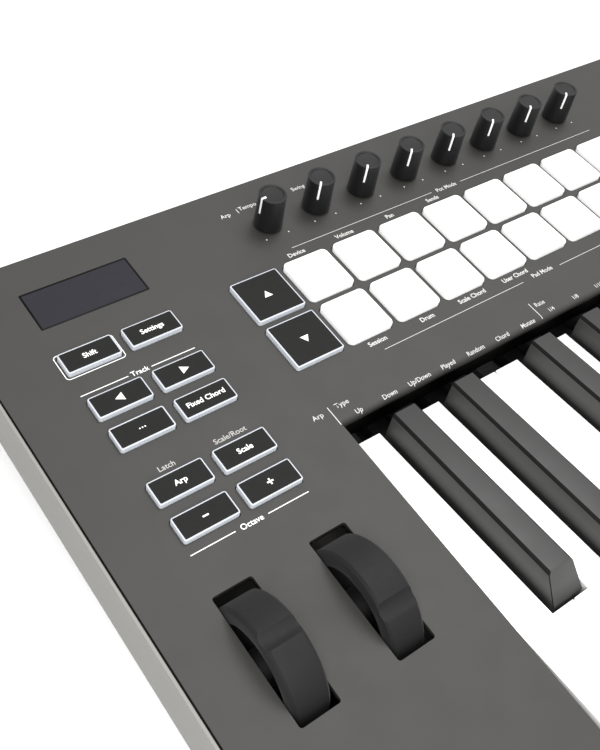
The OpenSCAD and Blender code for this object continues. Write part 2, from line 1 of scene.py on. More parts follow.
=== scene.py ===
"""Looks of a compact controller keyboard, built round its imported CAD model.

The CAD model gives every piece its size, place and motion. This script dresses the
pieces: it rounds their edges, prints the legends and gives each surface its finish.
Lengths are in millimetres and turned to Blender's metres by MM.
"""

import json
import logging
import math
from contextlib import contextmanager
from dataclasses import dataclass, field, replace
from enum import Enum
from typing import Callable, Iterator, Sequence

import bpy
from mathutils import Matrix, Vector


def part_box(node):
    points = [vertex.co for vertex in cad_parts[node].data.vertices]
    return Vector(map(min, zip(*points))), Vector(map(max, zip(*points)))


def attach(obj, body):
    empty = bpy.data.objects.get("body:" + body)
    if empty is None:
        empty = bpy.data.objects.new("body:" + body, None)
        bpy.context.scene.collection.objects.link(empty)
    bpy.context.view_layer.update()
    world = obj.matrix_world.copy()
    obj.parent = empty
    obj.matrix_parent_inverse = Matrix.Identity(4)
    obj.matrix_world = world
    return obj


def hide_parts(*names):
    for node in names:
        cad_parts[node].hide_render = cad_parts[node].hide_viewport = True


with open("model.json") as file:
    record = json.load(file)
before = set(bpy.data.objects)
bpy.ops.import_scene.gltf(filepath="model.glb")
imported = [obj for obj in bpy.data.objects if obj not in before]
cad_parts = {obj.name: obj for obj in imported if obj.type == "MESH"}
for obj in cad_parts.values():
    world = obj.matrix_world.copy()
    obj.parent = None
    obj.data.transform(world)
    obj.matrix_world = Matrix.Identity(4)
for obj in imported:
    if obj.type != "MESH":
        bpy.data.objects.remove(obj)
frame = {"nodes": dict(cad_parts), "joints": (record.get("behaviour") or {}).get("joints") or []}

Tree = bpy.types.NodeTree
Socket = bpy.types.NodeSocket
Piece = bpy.types.Object

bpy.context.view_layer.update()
MM = 0.001
# Thickness of a printed layer, in millimetres.
INK = 0.03
# Points at most this far below the highest one, in millimetres, belong to the top.
TOP_DEPTH = 0.05
# Points nearer than this to a plane, in millimetres, lie in it.
NEAR = 0.01
LOG = logging.getLogger("keyboard")
# The first knob stands square on the panel, so its joint tells how the panel lies.
KNOB_JOINT = next(joint for joint in frame["joints"] if joint["name"] == "knob_1_turn")


# ---------- nodes and finishes ----------


def linear(hex_colour: str) -> tuple[float, float, float, float]:
    """Turns an sRGB colour into Blender's linear one.

    Args:
        hex_colour: Six hexadecimal digits after a hash sign.

    Returns:
        Red, green, blue and an alpha of one.
    """
    channels = []
    for start in (1, 3, 5):
        value = int(hex_colour[start : start + 2], 16) / 255
        channels.append(value / 12.92 if value <= 0.04045 else ((value + 0.055) / 1.055) ** 2.4)
    return (channels[0], channels[1], channels[2], 1.0)


def add_node(tree: Tree, kind: str, inputs: dict, **settings) -> bpy.types.Node:
    """Adds a node with its settings, values and links.

    Args:
        tree: The tree that gets the node.
        kind: Blender's name of the kind of node.
        inputs: Input name or number to a value, or to the output socket that feeds it.
        settings: The node's own properties.

    Returns:
        The new node.
    """
    node = tree.nodes.new(kind)
    for name, value in settings.items():
        setattr(node, name, value)
    for name, value in inputs.items():
        if isinstance(value, Socket):
            tree.links.new(value, node.inputs[name])
        else:
            node.inputs[name].default_value = value
    return node


def fresh_tree(owner: bpy.types.Material | bpy.types.World) -> Tree:
    """The node tree of a material or a world, emptied."""
    owner.use_nodes = True
    owner.node_tree.nodes.clear()
    return owner.node_tree


def mapped(tree: Tree, value: Socket, source: tuple[float, float],
           target: tuple[float, float]) -> Socket:
    """Spreads a value over a range.

    Args:
        tree: The tree that gets the node.
        value: The value.
        source: What the value runs from and to.
        target: What the result runs from and to. It stops at these ends.

    Returns:
        The result.
    """
    node = add_node(tree, "ShaderNodeMapRange",
                    {"Value": value, "From Min": source[0], "From Max": source[1],
                     "To Min": target[0], "To Max": target[1]})
    return node.outputs["Result"]


def maths(tree: Tree, operation: str, one: Socket, other: float | Socket = 0.0) -> Socket:
    """The result of one of Blender's sums on one or two numbers."""
    node = add_node(tree, "ShaderNodeMath", {0: one, 1: other}, operation=operation)
    return node.outputs["Value"]


def part_of(tree: Tree, vector: Socket, axis: str) -> Socket:
    """One of the numbers X, Y and Z of a vector."""
    return add_node(tree, "ShaderNodeSeparateXYZ", {"Vector": vector}).outputs[axis]


def object_place(tree: Tree) -> Socket:
    """Where a point of the surface lies on its own piece, in metres."""
    return add_node(tree, "ShaderNodeTexCoord", {}).outputs["Object"]


def noise(tree: Tree, place: Socket, size_mm: float, detail: float = 2.0) -> Socket:
    """Smooth noise whose features have a size in millimetres."""
    node = add_node(tree, "ShaderNodeTexNoise",
                    {"Vector": place, "Scale": 1 / (size_mm * MM), "Detail": detail})
    return node.outputs["Fac"]


def relief(tree: Tree, height: Socket, depth_mm: float) -> Socket:
    """The normal of a surface with a relief of a depth in millimetres."""
    node = add_node(tree, "ShaderNodeBump",
                    {"Height": height, "Strength": 1.0, "Distance": depth_mm * MM})
    return node.outputs["Normal"]


def scaled(tree: Tree, colour: Socket, share: Socket) -> Socket:
    """A colour multiplied by a share from zero to one."""
    node = add_node(tree, "ShaderNodeVectorMath", {0: colour, "Scale": share}, operation="SCALE")
    return node.outputs["Vector"]


def take_gloss(shader: bpy.types.Node, share: Socket, whole: float = 0.5) -> None:
    """Leaves a shader a share of its gloss.

    Args:
        shader: The shader.
        share: The share at each point, from zero to one.
        whole: The gloss where the share is one.
    """
    gloss = maths(shader.id_data, "MULTIPLY", share, whole)
    shader.id_data.links.new(gloss, shader.inputs["Specular IOR Level"])


def back_end(node: str) -> float:
    """Where a node's highest faces end at the back, in metres."""
    points = [vertex.co for vertex in frame["nodes"][node].data.vertices]
    highest = max(point.z for point in points)
    return max(point.y for point in points if point.z > highest - TOP_DEPTH * MM)


@dataclass(frozen=True)
class Finish:
    """A surface, from what it is made of and how it was made.

    Each finish has a slow drift of its colour, a fine grain in its relief and a
    roughness that changes a little over the surface. A subclass adds to the shader.
    """

    name: str
    colour: str
    roughness: float
    drift: float = 0.03
    drift_mm: float = 30
    grain_mm: float = 0.5
    relief_mm: float = 0.01
    roughness_drift: float = 0.06
    ior: float = 1.5
    metallic: float = 0.0

    def material(self) -> bpy.types.Material:
        """The finish's material, made when it is first asked for."""
        found = bpy.data.materials.get(self.name)
        return found if found else self.build()

    def build(self) -> bpy.types.Material:
        """Makes the material.

        Returns:
            The new material, with its shader linked to the output.
        """
        material = bpy.data.materials.new(self.name)
        tree = fresh_tree(material)
        place = object_place(tree)
        shader = add_node(tree, "ShaderNodeBsdfPrincipled",
                          {"Metallic": self.metallic, "IOR": self.ior})
        tree.links.new(self.colour_at(tree, place), shader.inputs["Base Color"])
        tree.links.new(self.roughness_at(tree, place), shader.inputs["Roughness"])
        tree.links.new(self.relief_at(tree, place), shader.inputs["Normal"])
        self.adjust(shader)
        add_node(tree, "ShaderNodeOutputMaterial", {"Surface": shader.outputs["BSDF"]})
        return material

    def colour_at(self, tree: Tree, place: Socket) -> Socket:
        """The colour, drifting slowly between a darker and a lighter tone."""
        base = linear(self.colour)
        dark = tuple(channel * (1 - self.drift) for channel in base[:3]) + (1.0,)
        light = tuple(min(1.0, channel * (1 + self.drift)) for channel in base[:3]) + (1.0,)
        mix = add_node(tree, "ShaderNodeMix",
                       {"Factor": noise(tree, place, self.drift_mm, detail=3.0), 6: dark, 7: light},
                       data_type="RGBA")
        return mix.outputs[2]

    def roughness_at(self, tree: Tree, place: Socket) -> Socket:
        """The roughness, a little uneven as on any handled surface."""
        smoothest = max(0.02, self.roughness - self.roughness_drift)
        roughest = min(1.0, self.roughness + self.roughness_drift)
        return mapped(tree, noise(tree, place, self.drift_mm / 4), (0.0, 1.0),
                      (smoothest, roughest))

    def relief_at(self, tree: Tree, place: Socket) -> Socket:
        """The grain of the surface, as a bumped normal."""
        return relief(tree, noise(tree, place, self.grain_mm), self.relief_mm)

    def adjust(self, shader: bpy.types.Node) -> None:
        """Sets what this kind of finish adds to the shader."""


@dataclass(frozen=True)
class SiliconeFinish(Finish):
    """Cast silicone that lets some light in below its surface."""

    depth_mm: float = 1.0
    share: float = 0.3

    def adjust(self, shader: bpy.types.Node) -> None:
        """Adds the light that spreads below the surface."""
        shader.inputs["Subsurface Weight"].default_value = self.share
        shader.inputs["Subsurface Radius"].default_value = (1.0, 0.95, 0.9)
        shader.inputs["Subsurface Scale"].default_value = self.depth_mm * MM


@dataclass(frozen=True)
class SoftTouchFinish(Finish):
    """Rubbery paint whose fine nap shows as a faint sheen at grazing angles."""

    sheen: float = 0.15
    sheen_roughness: float = 0.4

    def adjust(self, shader: bpy.types.Node) -> None:
        """Adds the sheen."""
        shader.inputs["Sheen Weight"].default_value = self.sheen
        shader.inputs["Sheen Roughness"].default_value = self.sheen_roughness


@dataclass(frozen=True)
class LacqueredFinish(Finish):
    """A hard clear surface over the colour."""

    coat: float = 0.5
    coat_roughness: float = 0.08

    def adjust(self, shader: bpy.types.Node) -> None:
        """Adds the clear layer."""
        shader.inputs["Coat Weight"].default_value = self.coat
        shader.inputs["Coat Roughness"].default_value = self.coat_roughness


@dataclass(frozen=True)
class PaintedArmShadeKeyFinish(LacqueredFinish):
    """Gloss plastic of a key, with painted shade along its arm behind its back end, where the
    case's shadow falls.
    """

    arm_y: float = 0.0
    # Painted shade: the share of the colour left along the arm, and where it fades in.
    arm_painted_shade: float = 0.04
    shade_fade_mm: tuple[float, float] = (0.1, 0.3)

    def colour_at(self, tree: Tree, place: Socket) -> Socket:
        """The drifting colour, with painted shade along the arm."""
        base = super().colour_at(tree, place)
        start, end = (self.arm_y + past * MM for past in self.shade_fade_mm)
        share = mapped(tree, part_of(tree, place, "Y"), (start, end), (1.0, self.arm_painted_shade))
        return scaled(tree, base, share)


@dataclass(frozen=True)
class BrushedFinish(Finish):
    """Drawn or turned metal, with fine lines along one axis."""

    line_mm: float = 0.25
    stretch: float = 0.02

    def relief_at(self, tree: Tree, place: Socket) -> Socket:
        """Fine lines that the tool leaves, long along X."""
        lines = add_node(tree, "ShaderNodeMapping",
                         {"Vector": place, "Scale": (self.stretch, 1.0, 1.0)})
        return relief(tree, noise(tree, lines.outputs["Vector"], self.line_mm), self.relief_mm)


@dataclass(frozen=True)
class BevelledFinish(Finish):
    """Satin plastic whose sloping bevels are polished, and so look darker than the rest.

    Its tops are painted darker, toning down how brightly they catch the light, and its sides get
    painted shade towards their foot, where the keys beside them stand close.
    """

    # Painted shade: the share of the colour left on the tops, on the bevels and at the foot.
    top_painted_shade: float = 0.5
    top_facing: tuple[float, float] = (0.9, 0.99)
    bevel_painted_shade: float = 0.18
    bevel_lean: tuple[float, float] = (0.3, 0.95)
    foot_painted_shade: float = 0.15
    foot_mm: float = 4.5
    foot_z: float = 0.0

    def facing(self, tree: Tree, axis: str) -> Socket:
        """How much a face looks along an axis, from minus one to one."""
        normal = add_node(tree, "ShaderNodeNewGeometry", {}).outputs["True Normal"]
        return part_of(tree, normal, axis)

    def off_bevel(self, tree: Tree) -> Socket:
        """The share left on the sloping bevels, for their painted shade and their gloss, and one on
        everything else.
        """
        lean = maths(tree, "ABSOLUTE", self.facing(tree, "X"))
        level = maths(tree, "LESS_THAN", lean, self.bevel_lean[0])
        upright = maths(tree, "GREATER_THAN", lean, self.bevel_lean[1])
        return maths(tree, "MAXIMUM", maths(tree, "MAXIMUM", level, upright), self.bevel_painted_shade)

    def colour_at(self, tree: Tree, place: Socket) -> Socket:
        """The drifting colour, with painted shade on top, on slopes and near the foot."""
        base = super().colour_at(tree, place)
        foot = (self.foot_z, self.foot_z + self.foot_mm * MM)
        foot_shade = mapped(tree, part_of(tree, place, "Z"), foot, (self.foot_painted_shade, 1.0))
        top = mapped(tree, self.facing(tree, "Z"), self.top_facing, (1.0, self.top_painted_shade))
        for share in (self.off_bevel(tree), foot_shade, top):
            base = scaled(tree, base, share)
        return base

    def adjust(self, shader: bpy.types.Node) -> None:
        """Takes the gloss off the bevels."""
        take_gloss(shader, self.off_bevel(shader.id_data))


@dataclass(frozen=True)
class WellFinish(Finish):
    """Matte plastic with painted shade inside its openings and down its lip."""

    normal: tuple[float, float, float] = (0.0, 0.0, 1.0)
    level: float = 0.0
    shade_fade_mm: tuple[float, float] = (0.3, 2.4)
    # Painted shade: the share of the colour left at the deepest point.
    deepest_painted_shade: float = 0.02

    def painted_shade_share(self, tree: Tree) -> Socket:
        """The share of the colour left under the painted shade at each depth below the surface,
        from zero to one.
        """
        height = add_node(tree, "ShaderNodeVectorMath", {0: object_place(tree), 1: self.normal},
                          operation="DOT_PRODUCT")
        shallow, deep = (self.level - depth * MM for depth in self.shade_fade_mm)
        return mapped(tree, height.outputs["Value"], (deep, shallow), (self.deepest_painted_shade, 1.0))

    def colour_at(self, tree: Tree, place: Socket) -> Socket:
        """The drifting colour, with painted shade that deepens with the depth below the surface."""
        return scaled(tree, super().colour_at(tree, place), self.painted_shade_share(tree))

    def adjust(self, shader: bpy.types.Node) -> None:
        """Takes the gloss off below the surface."""
        take_gloss(shader, self.painted_shade_share(shader.id_data))


@dataclass(frozen=True)
class SolderMaskFinish(LacqueredFinish):
    """Green lacquer over the copper tracks of a circuit board."""

    track_colour: str = "#3f8a4f"
    track_mm: float = 1.8
    track_width: float = 0.12
    track_length: float = 3.0

    def colour_at(self, tree: Tree, place: Socket) -> Socket:
        """Tracks that show lighter through the lacquer."""
        bricks = add_node(tree, "ShaderNodeTexBrick",
                          {"Vector": place, "Scale": 1 / (self.track_mm * MM),
                           "Color1": linear(self.colour), "Color2": linear(self.colour),
                           "Mortar": linear(self.track_colour), "Mortar Size": self.track_width,
                           "Brick Width": self.track_length})
        return bricks.outputs["Color"]


# ABS with a fine spark-eroded texture: matte, with a broad soft highlight, and painted shade inside
# its openings and down its lip.
PANEL_ABS = WellFinish("spark_eroded_abs_dark_grey_painted_shade", "#2d2c2a", 0.6, drift=0.02, drift_mm=60,
                       grain_mm=0.45, relief_mm=0.012, normal=tuple(KNOB_JOINT["axis"]),
                       level=Vector(KNOB_JOINT["axis"]).dot(Vector(KNOB_JOINT["pos_m"])))
# The same moulded ABS for the lower shell, painted light grey as painted light for the strong light
# on its side walls.
CASE_ABS = Finish("spark_eroded_abs_painted_light_grey", "#807f7b", 0.6, drift=0.02, drift_mm=60,
                  relief_mm=0.012)
# Glass-filled ABS inside: dull, with the flow marks of a fast mould.
FRAME_ABS = Finish("moulded_abs_black", "#39393b", 0.62, drift=0.05, drift_mm=25)
# Gloss ABS of the white keys: bright, with a clear narrow highlight, and painted shade along their
# arms behind the back ends.
WHITE_KEY_ABS = PaintedArmShadeKeyFinish("polished_abs_white_painted_arm_shade", "#fafaf8", 0.3, drift=0.006, drift_mm=80,
                          grain_mm=4, relief_mm=0.003, roughness_drift=0.03, coat=0.3,
                          arm_y=back_end("key_c3"))
# Satin ABS of the black keys: a grey bloom where light grazes it, with painted shade on their tops,
# bevels and feet.
BLACK_KEY_ABS = BevelledFinish("satin_abs_black_painted_shade", "#383837", 0.5, relief_mm=0.012,
                               foot_z=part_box("key_c3")[1].z)
# White silicone of the pads: soft, slightly see-through, no clear highlight.
PAD_SILICONE = SiliconeFinish("cast_silicone_white", "#f6f6f5", 0.5, drift=0.006, drift_mm=12,
                              grain_mm=0.6, relief_mm=0.006, share=0.25)
# Clear silicone of the buttons: milky, brightest where it is thin at the rim.
BUTTON_SILICONE = SiliconeFinish("cast_silicone_milky", "#b9bdc3", 0.42, drift_mm=5,
                                 relief_mm=0.006, share=0.4)
# Black paint on the button tops, laser-cut round the legends.
BUTTON_PAINT = Finish("sprayed_paint_black", "#131312", 0.65, drift=0.05, drift_mm=6,
                      grain_mm=0.4, ior=1.29)
# White pad-printing ink of the legends.
BRIGHT_INK = Finish("pad_print_ink_white", "#f2f2f0", 0.5, drift=0.02, drift_mm=3,
                    grain_mm=0.3, relief_mm=0.003)
# The same ink printed thin on the panel, where its grey shows through.
SOFT_INK = Finish("pad_print_ink_grey", "#c6c5c2", 0.55, drift=0.05, drift_mm=2,
                  grain_mm=0.3, relief_mm=0.003)
FAINT_INK = replace(SOFT_INK, name="pad_print_ink_dim", colour="#a9a8a5")
# Soft-touch paint on the knobs: deep black with a faint nap.
KNOB_SOFT = SoftTouchFinish("soft_touch_paint_black", "#020203", 0.55, drift=0.08, drift_mm=4,
                            grain_mm=0.35, relief_mm=0.015, ior=1.42, sheen=0.06)
# Rubber tyre of the wheels: dull black that greys at its edges.
WHEEL_RUBBER = SoftTouchFinish("moulded_rubber_black", "#121212", 0.65, drift=0.05, drift_mm=8,
                               relief_mm=0.02, ior=1.35, sheen=0.08)
# Smoked acrylic over the display: near black, with little glare.
DISPLAY_ACRYLIC = Finish("smoked_acrylic", "#040405", 0.4, drift=0.04, drift_mm=20,
                         grain_mm=6, relief_mm=0.002, ior=1.2)
# Unlit display behind the acrylic, a shade bluer.
DISPLAY_CELL = Finish("unlit_display_cell", "#242329", 0.3, drift=0.05, drift_mm=12,
                      grain_mm=6, relief_mm=0.002, ior=1.28)
# Neoprene of the feet: dull, with the moulding's fine pits.
FOOT_RUBBER = SoftTouchFinish("moulded_neoprene", "#222224", 0.75, drift=0.06, drift_mm=5,
                              grain_mm=0.6, relief_mm=0.03, sheen=0.1)
# PBT of the sockets: smooth black.
SOCKET_PBT = Finish("moulded_pbt_black", "#1e1e20", 0.42, drift=0.05, drift_mm=8)
# Zinc-plated steel of rod, springs and screws, with drawing lines.
PLATED_STEEL = BrushedFinish("zinc_plated_steel", "#b9bbbd", 0.32, drift=0.05, drift_mm=6,
                             metallic=1.0)
# Circuit board: green lacquer over copper tracks.
BOARD_MASK = SolderMaskFinish("green_solder_mask", "#2c6a3a", 0.35)


# ---------- modelling by hand ----------


def deselect_all() -> None:
    """Leaves nothing selected."""
    for selected in bpy.context.selected_objects:
        selected.select_set(False)


def activate(piece: Piece) -> None:
    """Makes a piece the only selected one, and the active one."""
    deselect_all()
    piece.select_set(True)
    bpy.context.view_layer.objects.active = piece


@contextmanager
def editing(everything: bool = False) -> Iterator[None]:
    """Edit mode on the active piece, with all of it selected first if asked."""
    bpy.ops.object.mode_set(mode="EDIT")
    if everything:
        bpy.ops.mesh.select_all(action="SELECT")
    yield
    bpy.ops.object.mode_set(mode="OBJECT")


def unpick(mesh: bpy.types.Mesh, mode: tuple[bool, bool, bool]) -> None:
    """Selects nothing of a mesh.

    Args:
        mesh: The mesh.
        mode: Whether vertices, edges and faces are to be selected next.
    """
    bpy.context.tool_settings.mesh_select_mode = mode
    for part in (*mesh.vertices, *mesh.edges, *mesh.polygons):
        part.select = False


def pick_edges(piece: Piece, wanted: Callable[[Vector, Vector], bool]) -> None:
    """Selects the edges whose two ends pass a test, for the edit operators.

    Args:
        piece: The piece, in object mode.
        wanted: Says of an edge's two ends whether the edge is wanted.
    """
    mesh = piece.data
    unpick(mesh, (False, True, False))
    for edge in mesh.edges:
        ends = [mesh.vertices[index] for index in edge.vertices]
        if wanted(ends[0].co, ends[1].co):
            edge.select = ends[0].select = ends[1].select = True


def pick_faces(piece: Piece, wanted: Callable[[Vector, Vector], bool]) -> None:
    """Selects the faces whose centre and normal pass a test, for the edit operators.

    Args:
        piece: The piece, in object mode.
        wanted: Says of a face's centre and normal whether the face is wanted.
    """
    unpick(piece.data, (False, False, True))
    for face in piece.data.polygons:
        if wanted(face.center, face.normal):
            face.select = True


def apply_modifier(piece: Piece, kind: str, **settings) -> None:
    """Adds a modifier with its settings and applies it.

    Args:
        piece: The piece that it shapes.
        kind: Blender's name of the kind of modifier.
        settings: The modifier's properties.
    """
    activate(piece)
    modifier = piece.modifiers.new(kind.lower(), kind)
    for name, value in settings.items():
        setattr(modifier, name, value)
    bpy.ops.object.modifier_apply(modifier=modifier.name)


def smooth(piece: Piece, angle: float = 32) -> None:
    """Shades a piece smooth across edges flatter than an angle in degrees."""
    activate(piece)
    bpy.ops.object.shade_smooth_by_angle(angle=math.radians(angle))


def round_edges(piece: Piece, radius: float, segments: int = 3,
                angle: float = 40) -> None:
    """Rounds every edge sharper than an angle, and shades the piece.

    Args:
        piece: The piece.
        radius: Radius of the rounding in millimetres.
        segments: Faces across each rounding.
        angle: The least turn of an edge that is rounded, in degrees.
    """
    apply_modifier(piece, "BEVEL", width=radius * MM, segments=segments,
                   limit_method="ANGLE", angle_limit=math.radians(angle),
                   use_clamp_overlap=True, miter_outer="MITER_ARC")
    smooth(piece)


def bevel_picked(radius: float, segments: int) -> None:
    """Rounds the edges that are selected in the active piece, with a radius in millimetres."""
    with editing():
        bpy.ops.mesh.bevel(offset=radius * MM, segments=segments, affect="EDGES",
                           clamp_overlap=True)


def copy_node(node: str, name: str) -> Piece:
    """Copies a CAD node as one joined skin with whole faces.

    Args:
        node: The CAD node.
        name: The new piece's name.

    Returns:
        The copy, which nothing moves yet.
    """
    piece = bpy.data.objects.new(name, frame["nodes"][node].data.copy())
    bpy.context.scene.collection.objects.link(piece)
    piece.data.materials.clear()
    activate(piece)
    bpy.ops.mesh.customdata_custom_splitnormals_clear()
    with editing(everything=True):
        bpy.ops.mesh.remove_doubles(threshold=0.002 * MM)
        bpy.ops.mesh.dissolve_limited(angle_limit=math.radians(0.3))
    return piece


def join(name: str, pieces: Sequence[Piece]) -> Piece:
    """Joins pieces into one.

    Args:
        name: The joined piece's name.
        pieces: The pieces, at least one.

    Returns:
        The joined piece.
    """
    activate(pieces[0])
    for piece in pieces:
        piece.select_set(True)
    bpy.ops.object.join()
    joined = bpy.context.view_layer.objects.active
    joined.name = name
    return joined


def place(piece: Piece, matrix: Matrix) -> None:
    """Puts a piece that was built flat at its place, which goes into its mesh."""
    activate(piece)
    piece.matrix_world = matrix @ piece.matrix_world
    bpy.ops.object.transform_apply(location=True, rotation=True, scale=True)


def dress(piece: Piece, finish: Finish, body: str) -> Piece:
    """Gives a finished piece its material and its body.

    Args:
        piece: The piece, in place.
        finish: Its finish.
        body: The CAD body it moves with.

    Returns:
        The same piece.
    """
    piece.data.materials.clear()
    piece.data.materials.append(finish.material())
    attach(piece, body)
    LOG.info("%s rides on %s", piece.name, body)
    return piece


# ---------- the sloped panel's own axes ----------


@dataclass(frozen=True)
class Rect:
    """A rectangle on the panel, in millimetres."""

    left: float
    right: float
    front: float
    back: float

    @classmethod
    def around(cls, points: Sequence[Vector]) -> "Rect":
        """The rectangle that just holds some points."""
        across, along = [point.x for point in points], [point.y for point in points]
        return cls(min(across), max(across), min(along), max(along))

    @property
    def middle(self) -> tuple[float, float]:
        """Its centre."""
        return ((self.left + self.right) / 2, (self.front + self.back) / 2)

    @property
    def size(self) -> tuple[float, float]:
        """Its width and depth."""
        return (self.right - self.left, self.back - self.front)

    def grown(self, by: float) -> "Rect":
        """The rectangle with each side moved out."""
        return Rect(self.left - by, self.right + by, self.front - by, self.back + by)


class Panel:
    """Axes on the panel: x to the right from its left edge, y to the back, z out of it.

    y is zero at the panel's back edge, so it is negative on the panel.
    """

    def __init__(self) -> None:
        """Finds the axes from the first knob, which stands on the panel."""
        normal = Vector(KNOB_JOINT["axis"]).normalized()
        right = Vector((1, 0, 0))
        back = normal.cross(right)
        low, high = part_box("top_panel")
        foot = Vector(KNOB_JOINT["pos_m"])
        corner = foot + back * ((high.z - foot.z) / back.z)
        corner.x = low.x
        axes = Matrix((right, back, normal)).transposed().to_4x4()
        self.matrix = Matrix.Translation(corner) @ axes
        self.inverse = self.matrix.inverted()

    def places(self, piece: Piece) -> list[Vector]:
        """The places of a piece's vertices in the panel's axes, in millimetres."""
        return [self.inverse @ vertex.co / MM for vertex in piece.data.vertices]

    def tops(self, piece: Piece) -> list[Rect]:
        """The flat tops of a piece's parts, such as caps, from left to right.

        Args:
            piece: A piece whose faces are whole.

        Returns:
            One rectangle for each face that lies level with the highest.
        """
        points = self.places(piece)
        level = max(point.z for point in points) - TOP_DEPTH
        faces = [[points[index] for index in face.vertices] for face in piece.data.polygons]
        found = [Rect.around(corners) for corners in faces
                 if min(corner.z for corner in corners) > level]
        return sorted(found, key=lambda rect: (rect.left, rect.front))

    def outline(self, node: str) -> Rect:
        """The rectangle round the top of a CAD node."""
        points = self.places(frame["nodes"][node])
        level = max(point.z for point in points) - TOP_DEPTH
        return Rect.around([point for point in points if point.z > level])

    def top_height(self, piece: Piece) -> float:
        """Height of a piece's highest point above the panel, in millimetres."""
        return max(point.z for point in self.places(piece))

    def height(self, point: Vector) -> float:
        """Height of a point above the panel, in millimetres."""
        return (self.inverse @ point).z / MM

    def settle(self, piece: Piece, height: float) -> None:
        """Lays a piece that was built flat at a height above the panel, in millimetres."""
        place(piece, self.matrix @ Matrix.Translation((0, 0, height * MM)))


PANEL = Panel()


# ---------- printing ----------


@dataclass(frozen=True)
class Word:
    """A printed word: its letters, its place on the panel and its height in millimetres."""

    letters: str
    x: float
    y: float
    size: float = 2.8
    weight: float = 0.025
    thickness: float = INK

    def build(self) -> Piece:
        """Makes the word, flat, as thick as a layer of ink."""
        deselect_all()
        bpy.ops.object.text_add(location=(self.x * MM, self.y * MM, self.thickness / 2 * MM))
        word = bpy.context.view_layer.objects.active
        word.data.body = self.letters
        word.data.size = self.size * MM
        word.data.align_x = "CENTER"
        word.data.align_y = "CENTER"
        word.data.resolution_u = 4
        word.data.offset = self.weight * MM
        word.data.extrude = self.thickness / 2 * MM
        bpy.ops.object.convert(target="MESH")
        return bpy.context.view_layer.objects.active


def flat_shape(corners: int, radius: float, x: float, y: float, turn: float = 0.0,
               stretch: tuple[float, float] = (1.0, 1.0)) -> Piece:
    """Makes a printed dot, triangle or bar as thick as a layer of ink.

    Args:
        corners: How many corners it has.
        radius: From its middle to a corner, in millimetres.
        x: Its place to the right, in millimetres.
        y: Its place to the back, in millimetres.
        turn: Its turn to the left in degrees, from one corner pointing to the back.
        stretch: What its width and depth are multiplied by.

    Returns:
        The flat piece.
    """
    deselect_all()
    bpy.ops.mesh.primitive_circle_add(vertices=corners, radius=radius * MM, fill_type="NGON",
                                      rotation=(0, 0, math.radians(turn)))
    shape = bpy.context.view_layer.objects.active
    bpy.ops.object.transform_apply(rotation=True)
    shape.scale = (stretch[0], stretch[1], 1)
    shape.location = (x * MM, y * MM, 0)
    bpy.ops.object.transform_apply(location=True, scale=True)
    apply_modifier(shape, "SOLIDIFY", thickness=INK * MM, offset=1.0)
    return shape


def bar(rect: Rect) -> Piece:
    """Makes a printed bar that fills a rectangle."""
    width, depth = rect.size
    stretch = (width / math.sqrt(2), depth / math.sqrt(2))
    return flat_shape(4, 1, *rect.middle, turn=45, stretch=stretch)


def thin_sheet(rect: Rect) -> Piece:
    """Makes a sheet without thickness that fills a rectangle."""
    deselect_all()
    bpy.ops.mesh.primitive_plane_add(size=MM)
    sheet = bpy.context.view_layer.objects.active
    sheet.scale = (*rect.size, 1)
    sheet.location = (rect.middle[0] * MM, rect.middle[1] * MM, 0)
    bpy.ops.object.transform_apply(location=True, scale=True)
    return sheet


def rounded_sheet(rect: Rect, radius: float, thickness: float,
                  ring: float = 0.0) -> Piece:
    """Makes a flat sheet with round corners, or a ring of that outline.

    Args:
        rect: The outline's rectangle.
        radius: Radius of the corners in millimetres.
        thickness: Thickness in millimetres.
        ring: Width of the ring, or zero for a whole sheet.

    Returns:
        The flat piece.
    """
    sheet = thin_sheet(rect)
    with editing(everything=True):
        bpy.ops.mesh.bevel(offset=radius * MM, segments=5, affect="VERTICES")
        if ring:
            bpy.ops.mesh.select_all(action="SELECT")
            bpy.ops.mesh.inset(thickness=ring * MM)
            bpy.ops.mesh.delete(type="FACE")
    apply_modifier(sheet, "SOLIDIFY", thickness=thickness * MM, offset=1.0)
    return sheet


class Arrow(Enum):
    """Where a printed triangle points, as a turn to the left from straight back."""

    UP = 0.0
    LEFT = 90.0
    DOWN = 180.0
    RIGHT = 270.0


# ---------- buttons ----------


@dataclass(frozen=True)
class Legend:
    """What is cut into a button's paint: a word, an arrow, dots or a sign."""

    word: str = ""
    arrow: Arrow | None = None
    dots: int = 0
    bars: tuple[tuple[float, float], ...] = ()
    letter_size: float = 2.85
    weight: float = 0.05
    arrow_size: float = 1.9
    arrow_width: float = 1.05
    dot_size: float = 0.26
    dot_pitch: float = 0.95

    def build(self, x: float, y: float) -> list[Piece]:
        """Makes the legend's flat pieces round a place on the panel."""
        pieces = []
        if self.word:
            pieces.append(Word(self.word, x, y, self.letter_size, self.weight).build())
        if self.arrow:
            pieces.append(flat_shape(3, self.arrow_size, x, y, turn=self.arrow.value,
                                     stretch=(self.arrow_width, 1.0)))
        for index in range(self.dots):
            offset = (index - (self.dots - 1) / 2) * self.dot_pitch
            pieces.append(flat_shape(12, self.dot_size, x + offset, y))
        for width, depth in self.bars:
            pieces.append(bar(Rect(x - width / 2, x + width / 2, y - depth / 2, y + depth / 2)))
        return pieces


